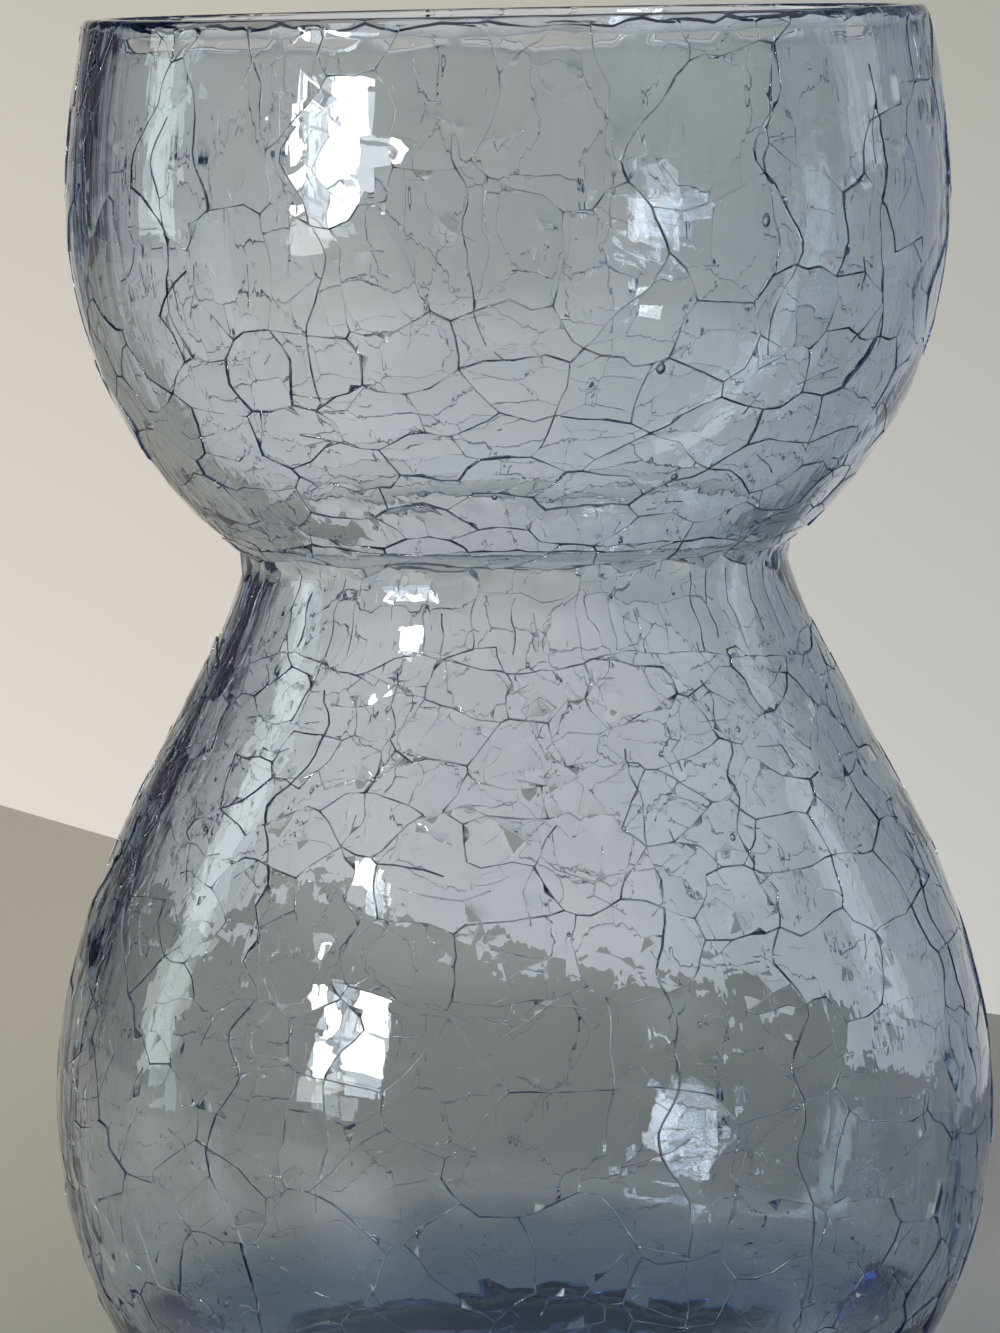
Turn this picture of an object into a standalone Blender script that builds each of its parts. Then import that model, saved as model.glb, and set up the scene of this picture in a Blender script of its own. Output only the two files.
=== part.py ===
"""Bulb forcing vase: a blown glass vessel with a bulb cup, a pinched waist and a water chamber,
on a thick glass foot.

Metres, +Z up. The origin is on the vase's axis, on the surface that the foot stands on.
Both pieces are bodies of revolution, each turned from one closed outline.
"""
import math

import bmesh
import bpy

# Outside of the vessel: radii, and heights above the surface that the vase stands on.
HEIGHT = 0.152
CUP_RADIUS = 0.04625
CUP_BELLY_HEIGHT = 0.1315
MOUTH_DRAW_IN = 0.00225
WAIST_RADIUS = 0.0285
WAIST_HEIGHT = 0.09575
WAIST_ROUND = 0.0015
NECK_FLARE = math.radians(12)
NECK_REACH = 0.0142
SHOULDER_REACH = 0.025
BODY_RADIUS = 0.04995
BODY_BELLY_HEIGHT = 0.0371

# The glass itself.
WALL = 0.003
RIM_ROUND = 0.0008
FLOOR_THICKNESS = 0.0026
BOWL_DEPTH = 0.0064
BOWL_FULLNESS = 2
BOWL_ROUND = 0.006

# The foot under the bubble.
FOOT_RADIUS = 0.0349
FOOT_ROUND = 0.009
FOOT_THICKNESS = 0.006
LIP_HEIGHT = 0.003
LIP_WIDTH = 0.0015
LIP_ROUND = 0.002
LARGEST_LIP_ROUND = 0.7
PUSH_UP_RADIUS = 0.02
PUSH_UP_DEPTH = 0.0015
SEAT_GAP = 0.0003

# How finely the outlines and the turns are divided.
TURN_STEPS = 48
ARC_STEPS = 8
BOWL_STEPS = 12
ROUND_STEPS = 3
MERGE_DISTANCE = 0.00005

GLASS_ROUGHNESS = 0.03
GLASS_IOR = 1.5
VESSEL_TINT = (0.62, 0.70, 0.80, 1.0)
FOOT_TINT = (0.16, 0.27, 0.45, 1.0)


def belly_arc(belly_radius, belly_height, end_radius, end_height, steps):
    """A quarter-ellipse arc from a belly, where it is upright, to the given end."""
    sweep = math.acos(end_radius / belly_radius)
    reach = (end_height - belly_height) / math.sin(sweep)
    arc = []
    for i in range(steps + 1):
        angle = sweep * i / steps
        arc.append((belly_radius * math.cos(angle), belly_height + reach * math.sin(angle)))
    return arc


def flare_curve(steps):
    """The cubic curve from the waist down to the body's belly, which it meets upright."""
    start = (WAIST_RADIUS, WAIST_HEIGHT)
    leave = (WAIST_RADIUS + NECK_REACH * math.sin(NECK_FLARE),
             WAIST_HEIGHT - NECK_REACH * math.cos(NECK_FLARE))
    arrive = (BODY_RADIUS, BODY_BELLY_HEIGHT + SHOULDER_REACH)
    end = (BODY_RADIUS, BODY_BELLY_HEIGHT)
    curve = []
    for i in range(steps + 1):
        t = i / steps
        weights = ((1 - t) ** 3, 3 * t * (1 - t) ** 2, 3 * t * t * (1 - t), t ** 3)
        handles = (start, leave, arrive, end)
        curve.append(tuple(sum(w * p[k] for w, p in zip(weights, handles)) for k in range(2)))
    return curve


def direction(start, end):
    length = math.dist(start, end)
    return ((end[0] - start[0]) / length, (end[1] - start[1]) / length)


def rounded_corner(before, after, radius):
    """Joins two lines that share a corner, with the corner rounded to the radius."""
    corner = after[0]
    into = direction(before[-2], corner)
    out = direction(corner, after[1])
    turn = math.atan2(into[0] * out[1] - into[1] * out[0], into[0] * out[0] + into[1] * out[1])
    setback = radius * math.tan(abs(turn) / 2)
    start = (corner[0] - into[0] * setback, corner[1] - into[1] * setback)
    side = math.copysign(radius, turn)
    centre = (start[0] - into[1] * side, start[1] + into[0] * side)
    kept_before = [p for p in before[:-1] if math.dist(p, corner) > setback * 1.2]
    kept_after = [p for p in after[1:] if math.dist(p, corner) > setback * 1.2]
    arc = []
    for i in range(ROUND_STEPS + 1):
        angle = turn * i / ROUND_STEPS
        spoke = (start[0] - centre[0], start[1] - centre[1])
        arc.append((centre[0] + spoke[0] * math.cos(angle) - spoke[1] * math.sin(angle),
                    centre[1] + spoke[0] * math.sin(angle) + spoke[1] * math.cos(angle)))
    return kept_before + arc + kept_after


def offset_line(points, distance):
    """The line moved sideways by the distance, to the right of its running direction."""
    moved = []
    for i, point in enumerate(points):
        behind = direction(points[max(i - 1, 0)], points[max(i, 1)])
        ahead = direction(points[min(i, len(points) - 2)], points[min(i + 1, len(points) - 1)])
        normal = (behind[1] + ahead[1], -behind[0] - ahead[0])
        size = math.hypot(*normal)
        miter = distance * 2 / (size * size)
        moved.append((point[0] + normal[0] * miter, point[1] + normal[1] * miter))
    return moved


def outer_line():
    """The outside in two parts that meet at the body's belly: from the mouth, and to the ground."""
    mouth = (CUP_RADIUS - MOUTH_DRAW_IN, HEIGHT)
    cup_top = belly_arc(CUP_RADIUS, CUP_BELLY_HEIGHT, *mouth, ARC_STEPS // 2)[::-1]
    cup_low = belly_arc(CUP_RADIUS, CUP_BELLY_HEIGHT, WAIST_RADIUS, WAIST_HEIGHT, ARC_STEPS)
    cup = cup_top + cup_low[1:]
    upper = rounded_corner(cup, flare_curve(ARC_STEPS), WAIST_ROUND)
    underside = belly_arc(BODY_RADIUS, BODY_BELLY_HEIGHT, FOOT_RADIUS, 0.0, ARC_STEPS)
    return upper, underside


def split_at_height(line, height):
    """The parts of a falling line above and below a height, which both hold the cut."""
    above = [p for p in line if p[1] > height]
    below = [p for p in line if p[1] < height]
    share = (above[-1][1] - height) / (above[-1][1] - below[0][1])
    cut = (above[-1][0] + share * (below[0][0] - above[-1][0]), height)
    return above + [cut], [cut] + below


def inner_line():
    """The inside from the mouth to the axis: the outside's line a wall's thickness in, and the bowl.

    The bowl is flat at the axis and steepens outwards, so the glass is thickest at the heel.
    """
    upper, underside = outer_line()
    wall = offset_line(upper[:-1] + underside, WALL)
    wall[0] = (wall[0][0], HEIGHT)
    floor_height = FOOT_THICKNESS + FLOOR_THICKNESS
    wall = split_at_height(wall, floor_height + BOWL_DEPTH)[0]
    bowl = []
    for i in range(BOWL_STEPS + 1):
        share = 1 - i / BOWL_STEPS
        bowl.append((wall[-1][0] * share, floor_height + BOWL_DEPTH * share ** BOWL_FULLNESS))
    return rounded_corner(wall, bowl, BOWL_ROUND)


def seat_line():
    """The bubble's underside inside the foot, from the top of the foot's lip to the axis."""
    lip_top = FOOT_THICKNESS + LIP_HEIGHT
    radius = split_at_height(outer_line()[1], lip_top)[0][-1][0] - LIP_WIDTH
    lip = [(radius, lip_top), (radius, FOOT_THICKNESS)]
    floor = [(radius, FOOT_THICKNESS), (0.0, FOOT_THICKNESS)]
    return rounded_corner(lip, floor, min(LIP_ROUND, LARGEST_LIP_ROUND * LIP_HEIGHT))


def vessel_outline():
    """From the floor's centre up the inside, over the rim and down the outside to the axis."""
    upper, underside = outer_line()
    inside = inner_line()[::-1]
    over_rim = rounded_corner(inside, [inside[-1], upper[0]], RIM_ROUND)
    outside = upper[:-1] + split_at_height(underside, FOOT_THICKNESS + LIP_HEIGHT)[0]
    return rounded_corner(over_rim, outside, RIM_ROUND) + seat_line()


def foot_outline():
    """From the seat's centre up to the lip, down the outside and under to the push-up's centre."""
    seat = offset_line(seat_line(), -SEAT_GAP)[::-1]
    lip_top = FOOT_THICKNESS + LIP_HEIGHT - SEAT_GAP
    seat[0] = (0.0, seat[0][1])
    seat[-1] = (seat[-1][0], lip_top)
    outside = split_at_height(outer_line()[1], lip_top)[1]
    floor = [(FOOT_RADIUS, 0.0), (PUSH_UP_RADIUS, 0.0)]
    dome = []
    for i in range(1, ROUND_STEPS + 1):
        share = 1 - i / ROUND_STEPS
        dome.append((PUSH_UP_RADIUS * share, PUSH_UP_DEPTH * (1 - share ** 2)))
    return seat + rounded_corner(outside, floor, FOOT_ROUND) + dome


def glass_material(name, tint):
    material = bpy.data.materials.new(name)
    material.use_nodes = True
    shader = material.node_tree.nodes["Principled BSDF"]
    shader.inputs["Base Color"].default_value = tint
    shader.inputs["Roughness"].default_value = GLASS_ROUGHNESS
    shader.inputs["Metallic"].default_value = 0.0
    shader.inputs["IOR"].default_value = GLASS_IOR
    shader.inputs["Transmission Weight"].default_value = 1.0
    return material


def turned_piece(name, outline, material, collection):
    """A solid of revolution about Z from an outline that starts and ends on the axis."""
    mesh = bpy.data.meshes.new(name)
    profile = bmesh.new()
    points = [profile.verts.new((radius, 0.0, height)) for radius, height in outline]
    for start, end in zip(points, points[1:]):
        profile.edges.new((start, end))
    profile.to_mesh(mesh)
    profile.free()
    mesh.materials.append(material)
    piece = bpy.data.objects.new(name, mesh)
    collection.objects.link(piece)
    screw = piece.modifiers.new("turn", "SCREW")
    screw.axis = "Z"
    screw.steps = TURN_STEPS
    screw.render_steps = TURN_STEPS
    screw.use_merge_vertices = True
    screw.merge_threshold = MERGE_DISTANCE
    screw.use_smooth_shade = True
    return piece


def main():
    for old in list(bpy.data.objects):
        bpy.data.objects.remove(old, do_unlink=True)
    vase = bpy.data.collections.new("bulb_forcing_vase")
    bpy.context.scene.collection.children.link(vase)
    vessel_glass = glass_material("vessel_glass", VESSEL_TINT)
    foot_glass = glass_material("foot_glass", FOOT_TINT)
    turned_piece("glass_vessel", vessel_outline(), vessel_glass, vase)
    turned_piece("foot_pad", foot_outline(), foot_glass, vase)


main()
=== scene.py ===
"""The looks of the bulb forcing vase: one continuous piece of blown crackle glass.

Metres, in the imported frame. The vessel and the foot are one mass of glass on the real vase, so one
closed mesh stands for both. Its outside carries the crackle as real grooves between slightly tilted
plates; its inside is smooth.
"""
import random
from math import acos, atan2, cos, hypot, pi, radians, sin, tan

import bmesh
import bpy
import numpy as np
from mathutils import Matrix, Vector, noise
from mathutils.geometry import delaunay_2d_cdt


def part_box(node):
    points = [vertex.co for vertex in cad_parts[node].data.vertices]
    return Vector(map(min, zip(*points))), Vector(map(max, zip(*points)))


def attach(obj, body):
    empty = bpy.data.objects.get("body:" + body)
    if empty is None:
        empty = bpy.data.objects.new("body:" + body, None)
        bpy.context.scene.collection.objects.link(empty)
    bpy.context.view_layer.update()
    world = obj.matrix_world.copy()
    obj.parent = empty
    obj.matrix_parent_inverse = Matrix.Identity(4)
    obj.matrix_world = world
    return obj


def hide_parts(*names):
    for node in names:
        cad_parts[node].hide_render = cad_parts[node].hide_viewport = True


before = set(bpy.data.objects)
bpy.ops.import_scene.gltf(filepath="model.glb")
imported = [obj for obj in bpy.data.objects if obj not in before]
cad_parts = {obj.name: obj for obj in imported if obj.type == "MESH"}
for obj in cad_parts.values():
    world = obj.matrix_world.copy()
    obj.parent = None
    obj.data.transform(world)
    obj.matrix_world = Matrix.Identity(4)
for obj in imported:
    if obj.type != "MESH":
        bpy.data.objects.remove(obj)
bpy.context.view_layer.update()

MM = 0.001
FULL_TURN = 2 * pi

# The turned outline, with the values of the frame's own solids.
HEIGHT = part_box("glass_vessel")[1][2]
CUP_RADIUS = 46.25 * MM
CUP_BELLY_HEIGHT = 131.5 * MM
MOUTH_RADIUS = CUP_RADIUS - 2.25 * MM
WAIST_RADIUS = 28.5 * MM
WAIST_HEIGHT = 95.75 * MM
WAIST_ROUND = 1.5 * MM
NECK_FLARE = radians(12)
NECK_REACH = 14.2 * MM
SHOULDER_REACH = 25 * MM
BODY_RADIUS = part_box("glass_vessel")[1][0]
BODY_BELLY_HEIGHT = 37.1 * MM
WALL = 3 * MM
FLOOR_HEIGHT = 8.6 * MM
BOWL_DEPTH = 6.4 * MM
BOWL_FULLNESS = 2
BOWL_ROUND = 3.2 * MM
FOOT_RADIUS = 34.9 * MM
HEEL_ROUND = 4.8 * MM
PUSH_UP_RADIUS = 20 * MM
PUSH_UP_DEPTH = 1.5 * MM
# The outlines' sampling, and the crackle's two ends.
LINE_STEP = 0.2 * MM
INNER_LINE_STEP = 0.25 * MM
CRACKLE_FOOT = 1.2 * MM
CRACKLE_TOP = HEIGHT - 0.7 * MM

# The crackle by height: plate width, plate height, share of the plates' borders that are cracked,
# their strength, share of a second, finer net that is cracked, hairlines per square cm, hairline
# length, and hairline slope (0 level, 90 upright).
ZONES = (
    (152, 11, 18, 0.92, 0.75, 0.06, 1.6, 5, 82),
    (133, 11, 14, 0.92, 0.85, 0.06, 1.5, 5, 80),
    (126, 8, 9, 0.95, 0.95, 0.10, 0.9, 4, 70),
    (118, 8.5, 6.5, 1.0, 1.05, 0.12, 0.4, 3.5, 40),
    (108, 9.5, 5.2, 1.0, 1.1, 0.10, 0.3, 3.5, 25),
    (98, 10, 5, 1.0, 1.1, 0.08, 0.3, 3, 20),
    (95.6, 8, 4, 0.6, 0.9, 0.0, 0.3, 3, 85),
    (94.5, 6, 8, 0.0, 0.8, 0.0, 0.4, 5, 88),
    (88.5, 6, 8, 0.0, 0.8, 0.0, 0.4, 5, 88),
    (87, 7, 6.5, 1.0, 0.75, 0.15, 0.6, 3, 60),
    (80, 8, 6, 0.9, 0.7, 0.22, 2.4, 4, 35),
    (70, 9, 6, 0.9, 0.75, 0.22, 2.8, 5, 28),
    (63, 10, 7, 0.9, 0.8, 0.18, 2.2, 5, 24),
    (54, 11, 10, 0.85, 0.8, 0.15, 1.0, 5, 22),
    (38, 12, 10, 0.8, 0.75, 0.15, 1.5, 6, 12),
    (20, 9, 7, 0.9, 0.75, 0.25, 2.4, 6, 8),
    (0, 8, 6, 1.0, 0.75, 0.25, 1.8, 5, 5),
)
PLATE_WIDTH, PLATE_HEIGHT, KEPT, STRENGTH, FINE_KEPT, HAIRS, HAIR_LENGTH, HAIR_SLOPE = range(1, 9)
PER_SQUARE_CM = 1e4
# The finer net's plate size and crack depth, beside the first net's.
FINE_SCALE = 0.55
FINE_STRENGTH = 0.32
# How deep a crack may be beside the deepest, drawn at random.
CRACK_STRENGTHS = (1.0, 0.9, 0.6, 0.4, 0.3)
# Plate centres: tries, nearest in plate widths, reach past the seam and past the ends (mirrored,
# and turned a little).
SEED_TRIES = 9000
SEED_GAP = (0.62, 0.92)
SEED_MARGIN = 0.3
SEED_MIRROR = 0.4
SEED_SHIFT = 0.11
NET_MARGIN = 0.02
LONGEST_BORDER = 1.0
NEAR_ZERO, EDGE = 1e-7, 1e-4

# Cracks that the photograph shows: rings (height, sway, strength) at the waist's crease and under
# the neck's upright lines, those lines, and long cracks down the cup and the body.
RINGS = ((96.6, 0.5, 0.9), (98.3, 0.9, 0.6), (86.8, 1.6, 0.8))
NECK_LINES = 58
NECK_TOP = 95.2 * MM
NECK_FOOT = 87.5 * MM
LONG_CRACKS = 13
NECK_SWAY, BODY_SWAY, CUP_SWAY = 0.35 * MM, 3.5 * MM, 3 * MM
UPRIGHT_BEND = 9 * MM
RING_OVERLAP = 0.05
# The seam at the back, where the pattern closes: its depth and width beside a crack's, how near a
# mark moves to a crack that meets it or an end, and how far others stay off.
SEAM_ANGLE = radians(185)
SEAM_DEPTH, SEAM_WIDTH = 0.6, 0.8
SEAM_SNAP, END_SNAP = 0.008, 0.012
SEAM_GAP, WIDE_SEAM_GAP = 0.03, 0.05
MEAN_RADIUS = 0.04
# A crack is laid in steps, along straight stretches that meet at kinks and bow as a whole.
CRACK_STEP = 1.15 * MM
CRACK_STRETCH = 2.6 * MM
CRACK_KINK = 0.34 * MM
KINK_LIMIT = 1.6
CRACK_BOW = 0.10
CRACK_DEPTH = 0.40 * MM
CRACK_HALF_WIDTH = 0.095 * MM
HAIR_STEP = 0.8 * MM
HAIR_DEPTH = 0.08 * MM
HAIR_HALF_WIDTH = 0.058 * MM
# How near a corner, a hairline's start or tip, or a point between cracks comes to a crack.
CORNER_REACH = 0.8 * MM
HAIR_CLEARANCE = 0.8 * MM
HAIR_REACH = 0.65 * MM
FILL_CLEARANCE = 0.85 * MM
MERGE_REACH = 0.22 * MM
# The angle between cracks that is too narrow for a point, or takes three.
NARROW_GAP, WIDE_GAP = radians(35), radians(230)
# The triangles' size.
FILL_STEP = 2.2 * MM
FILL_JITTER = 0.32
FILL_MARGIN = 0.6 * MM
END_STEP = 1.6 * MM
INNER_STEP = 1.9 * MM
HEEL_STEP = 1.2 * MM
PUSH_UP_RINGS = 8
# Plates tilt and bulge up to a limit, and lie a little inside the outline. The relief fades out at
# both ends, and keeps clear of the frame's widest place.
PLATE_TILT = radians(1.05)
PLATE_BULGE_RADIUS = 420 * MM
PLATE_LIMIT = 0.16 * MM
SINK = 0.05 * MM
END_FADE = 1.5 * MM
CLEARANCE = 0.01 * MM
GROOVE_DEPTH = 0.03 * MM
# Low waves in the blown glass: their depth, and how many there are.
OUTER_WAVES = (0.06 * MM, 2.0)
INNER_WAVES = (0.08 * MM, 2.6)
WAVE_RADIUS = 46 * MM
# The lip's rounding, the drop and raggedness (mm) of the ledge in it, and where the inside starts.
LIP_ROUND_OUT, LIP_ROUND_IN = 0.6 * MM, 0.45 * MM
LEDGE_DROP, LEDGE_RAGGED = 1.25, 0.55
SMOOTH_INSIDE_TOP = HEIGHT - 2.3 * MM
# Between these heights the inside turns from a clear wall to the floor, which mirrors little.
DULL_FLOOR = (12 * MM, 16 * MM)
# How dark the shade painted into the cracks is: full in the cup and the shoulder, faint in the lower
# body.
CRACK_SHADE_SPAN, CRACK_SHADE, CRACK_SHADE_LIMIT = (25 * MM, 62 * MM), (0.3, 1.0), 1.2
# Bubbles in the photograph: angle from the camera's side, height, radius. A few more are random.
BUBBLES = ((20, 117, 0.5), (25.5, 105.5, 0.35), (34, 131.5, 0.5), (-3, 104, 0.3), (48, 128, 0.4))
BUBBLE_FLATNESS = 0.7
RANDOM_BUBBLES = 6
RANDOM_BUBBLE_SPANS = ((0, 360), (20, 148), (0.2, 0.4))
SEED = 7

# The glass: its colour by depth, the colour of the shade painted into the cracks, the "crack" values
# between which it turns dark with that painted shade and rough, and how dark the painted shade of a
# crack on the far side is.
GLASS_TINT = (0.0, 0.29, 0.60)
GLASS_DENSITY = 66.0
CLEAR_COLOR = (0.96, 0.96, 0.96)
CRACK_SHADE_COLOR = (0.012, 0.014, 0.022)
DARK_CRACK = (0.10, 0.62)
ROUGH_CRACK = (0.12, 0.5)
FAR_CRACK = 0.12
MIRROR_ON_FLOOR = (0.5, 0.03)
# Fine drawn-out waves, deeper where the glass turns away, and flat facets.
DRAWN_WAVES = 0.02 * MM
DRAWN_WAVES_AT_EDGE = 0.10 * MM
WAVE_FACING = (0.35, 0.95)
WAVE_STRETCH = 0.07
WAVES_PER_METRE = 540.0
FACET_SIZE = 5.2 * MM
FACET_SQUASH = 2.4
FACET_TILT = radians(0.32)
CRACK_GRAIN = 0.5 * MM
CRACK_TILT = radians(24)

# The photograph's camera, fitted together with the outline.
FRAME_HEIGHT, FOCAL_PIXELS = 1333, 5700
CAMERA_DISTANCE = 598.6 * MM
CAMERA_HEIGHT = HEIGHT + 5.8 * MM
CAMERA_PITCH_ROLL_YAW = (7.11, -1.1, -0.17)

# The table, the shade painted across it, and a painted dark blue pool of shade under the vase's
# foot, standing for the light that comes through the foot.
TABLE_BACK_EDGE = ((-0.0983, 0.4691), (-0.0068, 0.3053), (0.0468, 0.2579))
TABLE_FRONT, TABLE_LEFT = -3.5, -1.1
TABLE_THICKNESS = 12 * MM
TABLE_ROUGHNESS = 0.42
TABLE_LIT = (0.57, 0.525, 0.42)
TABLE_SHADED = (0.19, 0.20, 0.205)
SHADE_ACROSS = (0.90, -0.44, 0.0)
SHADE_SPAN = (-0.22, 0.07)
BLUE_LIGHT = (0.001, 0.05, 0.15)
BLUE_SPAN = (26 * MM, 31 * MM)

# The lamps, for softbox(): azimuths, elevations, distance, radiance, colour.
LIGHT_CENTRE = 0.1
WHITE = (1.0, 1.0, 1.0)
WINDOW_DISTANCE = 0.55
WINDOW_ROWS = ((3.2, 10.6), (11.3, 18.5))
WINDOW_PANES = (
    ("left", (-53.5, -50.2), 30.0, WHITE),
    ("middle", (-49.6, -44.6), 7.0, (0.80, 0.90, 1.0)),
    ("right", (-43.8, -34.5), 30.0, WHITE),
)
OTHER_LAMPS = (
    ("window_sill", (-53, -41), (-2.2, 2.6), WINDOW_DISTANCE, 6.0, WHITE),
    ("window_top", (-50, -43), (30.5, 34.5), WINDOW_DISTANCE, 26.0, WHITE),
    ("left_side", (-108, -97), (-3, 60), 1.5, 2.6, (0.90, 1.0, 0.95)),
    ("right_side", (100, 112), (2, 26), 1.5, 1.1, (0.95, 0.97, 1.0)),
)

# The room by direction: the wall's colours by height, its shade to the right, its surroundings.
WALL_SPAN = (-0.3, 0.7)
WALL_STOPS = (
    (0.12, (0.82, 0.755, 0.695)),
    (0.30, (0.58, 0.545, 0.475)),
    (0.47, (0.46, 0.44, 0.40)),
    (0.58, (0.12, 0.12, 0.13)),
)
WALL_SHADE_SPAN, WALL_SHADE = (-0.13, 0.13), (0.70, 0.75, 0.79)
CEILING_SPAN, CEILING_COLOR = (0.40, 0.56), (1.1, 1.1, 1.09)
ROOM_COLOR = (0.15, 0.16, 0.17)
LEFT_COLOR = (0.045, 0.033, 0.04)
RIGHT_COLOR = (0.32, 0.32, 0.345)
# Where one part turns into the next, in degrees to the right of straight behind.
ROOM_BORDERS = ((-80, -65), (-29, -13), (20, 42), (70, 90))


def ellipse_arc(belly_radius, belly_height, end_radius, end_height, steps):
    """An arc from a belly, where it is upright, to the given end."""
    sweep = acos(end_radius / belly_radius)
    reach = (end_height - belly_height) / sin(sweep)
    angles = np.linspace(0.0, sweep, steps)
    return np.column_stack((belly_radius * np.cos(angles), belly_height + reach * np.sin(angles)))


def cubic(p0, p1, p2, p3, steps):
    t = np.linspace(0.0, 1.0, steps)[:, None]
    return ((1 - t) ** 3 * np.array(p0) + 3 * t * (1 - t) ** 2 * np.array(p1)
            + 3 * t * t * (1 - t) * np.array(p2) + t ** 3 * np.array(p3))


def resample(points, step):
    """The line with points a step apart along it."""
    lengths = np.hypot(*np.diff(points, axis=0).T)
    run = np.concatenate(([0.0], np.cumsum(lengths)))
    marks = np.linspace(0.0, run[-1], max(2, int(round(run[-1] / step)) + 1))
    return np.column_stack([np.interp(marks, run, points[:, k]) for k in range(2)])


def smooth_line(points, radius, step):
    """The line resampled, its corners rounded by averaging along a length that suits the radius."""
    points = resample(points, step)
    half = max(1, int(round(radius / step)))
    padded = np.vstack([points[:1]] * half + [points] + [points[-1:]] * half)
    kernel = np.hanning(2 * half + 3)[1:-1]
    kernel /= kernel.sum()
    rounded = np.column_stack([np.convolve(padded[:, k], kernel, "valid") for k in range(2)])
    rounded[:half] = points[:half]
    rounded[-half:] = points[-half:]
    return rounded


def outer_outline():
    """The outside from the rim's top to the inner edge of the resting ring, finely sampled."""
    top = ellipse_arc(CUP_RADIUS, CUP_BELLY_HEIGHT, MOUTH_RADIUS, HEIGHT, 200)[::-1]
    low = ellipse_arc(CUP_RADIUS, CUP_BELLY_HEIGHT, WAIST_RADIUS, WAIST_HEIGHT, 300)
    flare = cubic((WAIST_RADIUS, WAIST_HEIGHT),
                  (WAIST_RADIUS + NECK_REACH * sin(NECK_FLARE),
                   WAIST_HEIGHT - NECK_REACH * cos(NECK_FLARE)),
                  (BODY_RADIUS, BODY_BELLY_HEIGHT + SHOULDER_REACH),
                  (BODY_RADIUS, BODY_BELLY_HEIGHT), 400)
    under = ellipse_arc(BODY_RADIUS, BODY_BELLY_HEIGHT, FOOT_RADIUS, 0.0, 300)
    upper = smooth_line(np.vstack((top, low[1:], flare[1:])), WAIST_ROUND, LINE_STEP)
    lower = smooth_line(np.vstack((under, [(PUSH_UP_RADIUS, 0.0)])), HEEL_ROUND, LINE_STEP)
    return np.vstack((upper, lower[1:]))


class Outline:
    """Radius, height and normal by distance along a line, and the line's conformal coordinate."""

    def __init__(self, points):
        steps = np.diff(points, axis=0)
        lengths = np.hypot(*steps.T)
        self.run = np.concatenate(([0.0], np.cumsum(lengths)))
        self.radius, self.height = points[:, 0], points[:, 1]
        tangent = np.gradient(points, self.run, axis=0)
        tangent /= np.hypot(*tangent.T)[:, None]
        self.normal = np.column_stack((-tangent[:, 1], tangent[:, 0]))
        self.conformal = self.integral(1 / np.maximum(self.radius, MM))

    def integral(self, rate):
        """The rate's running integral along the line."""
        pieces = np.diff(self.run) * (rate[1:] + rate[:-1]) / 2
        return np.concatenate(([0.0], np.cumsum(pieces)))

    def look(self, conformal, column):
        return np.interp(conformal, self.conformal, column)

    def at_height(self, z, column):
        """The column's value where the falling line passes a height."""
        return float(np.interp(-z, -self.height, column))


def spot_round(angle, scale, z):
    """A place round the vase's axis, also for a noise that closes on itself round the vase."""
    return Vector((cos(angle) * scale, sin(angle) * scale, z))


def zone_values(height, column):
    heights = [z[0] * MM for z in ZONES[::-1]]
    return np.interp(height, heights, [z[column] for z in ZONES[::-1]])


class CrackNet:
    """A flat graph of crack centre lines in (angle, conformal) coordinates."""

    CELL = 0.02
    MARKS = 1000

    def __init__(self, outline):
        self.outline = outline
        self.points, self.depth, self.width, self.links = [], [], [], []
        self.cells = {}
        self.bottom = outline.conformal[-1]
        marks = [k * (1 / self.MARKS) for k in range(int(self.bottom * self.MARKS) + 2)]
        self.radii = [float(outline.look(y, outline.radius)) for y in marks]
        self.heights = [float(outline.look(y, outline.height)) for y in marks]

    def radius(self, y):
        return self.radii[min(max(int(y * self.MARKS), 0), len(self.radii) - 1)]

    def height(self, y):
        return self.heights[min(max(int(y * self.MARKS), 0), len(self.heights) - 1)]

    def add(self, x, y, depth, width):
        number = len(self.points)
        self.points.append((x, y))
        self.depth.append(depth)
        self.width.append(width)
        self.cells.setdefault((int(x / self.CELL), int(y / self.CELL)), []).append(number)
        return number

    def near(self, x, y, reach, skip=()):
        """The nearest point within the reach (metres), if there is one."""
        span = reach / self.radius(y)
        found, best = None, span
        for i in range(int((x - span) / self.CELL), int((x + span) / self.CELL) + 1):
            for j in range(int((y - span) / self.CELL), int((y + span) / self.CELL) + 1):
                for k in self.cells.get((i, j), ()):
                    gap = hypot(self.points[k][0] - x, self.points[k][1] - y)
                    if gap < best and k not in skip:
                        found, best = k, gap
        return found

    def link(self, a, b, closes):
        if a != b:
            self.links.append((a, b, closes))

    def holds(self, x, y, margin=0.0):
        return margin < x < FULL_TURN - margin and margin < y < self.bottom - margin


def scatter_seeds(outline, plate_run, scale, rng):
    """Plate centres in (angle, plate-run) coordinates, further apart where plates are larger."""
    widths = zone_values(outline.height, PLATE_WIDTH) * scale * MM / outline.radius
    heights = zone_values(outline.height, PLATE_HEIGHT) * scale * MM
    chance = outline.integral(1 / (widths * heights))
    chance /= chance[-1]
    places = np.arange(len(chance))
    tries = int(SEED_TRIES / scale ** 2)
    seeds = np.empty((tries, 2))
    count = 0
    for _ in range(tries):
        place = np.interp(rng.random(), chance, places)
        x = rng.uniform(-SEED_MARGIN, FULL_TURN + SEED_MARGIN)
        q = np.interp(place, places, plate_run)
        gap = rng.uniform(*SEED_GAP) * np.interp(place, places, widths)
        if count and np.min(np.hypot(seeds[:count, 0] - x, seeds[:count, 1] - q)) < gap:
            continue
        seeds[count] = (x, q)
        count += 1
    inside = seeds[:count]
    low, high = plate_run[0], plate_run[-1]
    above = inside[inside[:, 1] < low + SEED_MIRROR] * (1, -1) + (SEED_SHIFT, 2 * low)
    below = inside[inside[:, 1] > high - SEED_MIRROR] * (1, -1) + (SEED_SHIFT, 2 * high)
    return np.vstack((inside, above, below))


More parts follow.
